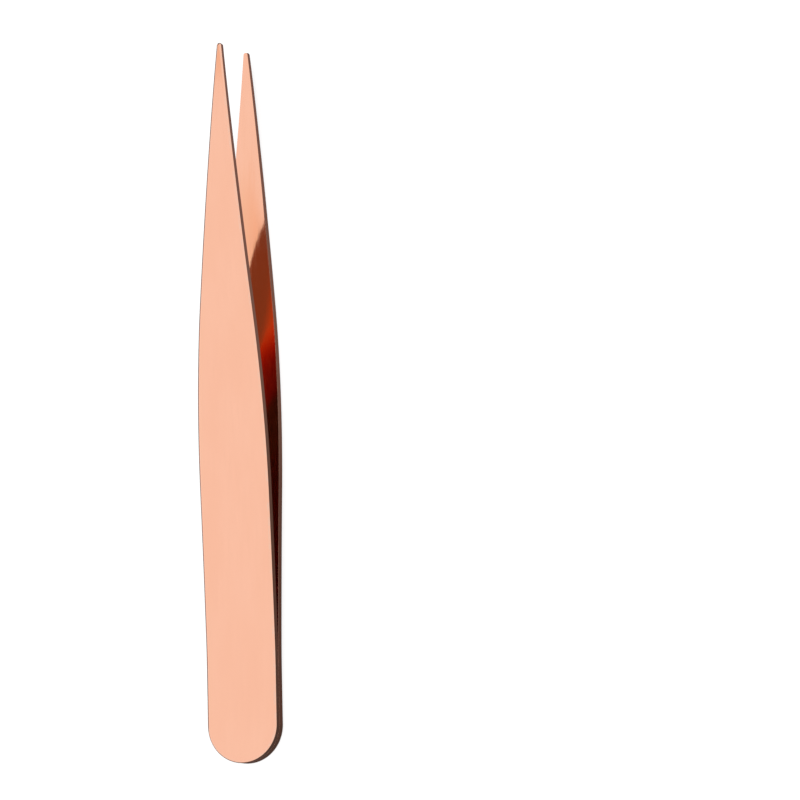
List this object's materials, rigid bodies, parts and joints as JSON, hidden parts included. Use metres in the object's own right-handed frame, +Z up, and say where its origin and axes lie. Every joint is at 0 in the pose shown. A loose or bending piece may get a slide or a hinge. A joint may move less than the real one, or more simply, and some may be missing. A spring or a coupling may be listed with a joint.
{
  "type": "fine point spring tweezers",
  "caption": "Fine-point spring tweezers: bowed, tapering rose-gold leaves welded back to back at a half-round butt, whose needle tips meet when the leaves are squeezed.",
  "frame": {"origin": "centre of the footprint on the table that the tweezers lie on, at rest on the lower arm's butt edge and belly", "axes": "+Y from the butt to the tips, +X across the arms, +Z up, from the lower arm to the upper one"},
  "size_m": [0.01, 0.0952, 0.0105],
  "materials": {
    "rose_gold": "polished",
    "weld_steel": "satin"
  },
  "bodies": {
    "heel": {"upper_arm_heel": "rose_gold", "lower_arm_heel": "rose_gold", "spot_welds": "weld_steel"},
    "upper_arm": {"upper_arm_blade": "rose_gold"},
    "lower_arm": {"lower_arm_blade": "rose_gold"}
  },
  "joints": [
    {"name": "upper_arm_flex", "type": "hinge", "parent": "heel", "child": "upper_arm", "pos_m": [0, -0.02059, 0.00309], "axis": [-1, 0, 0], "range_deg": [0, 3.2], "stiffness_Nm_per_rad": 4},
    {"name": "lower_arm_flex", "type": "hinge", "parent": "heel", "child": "lower_arm", "pos_m": [0, -0.02053, 0.00184], "axis": [1, 0, 0], "range_deg": [0, 3.2], "stiffness_Nm_per_rad": 4}
  ]
}
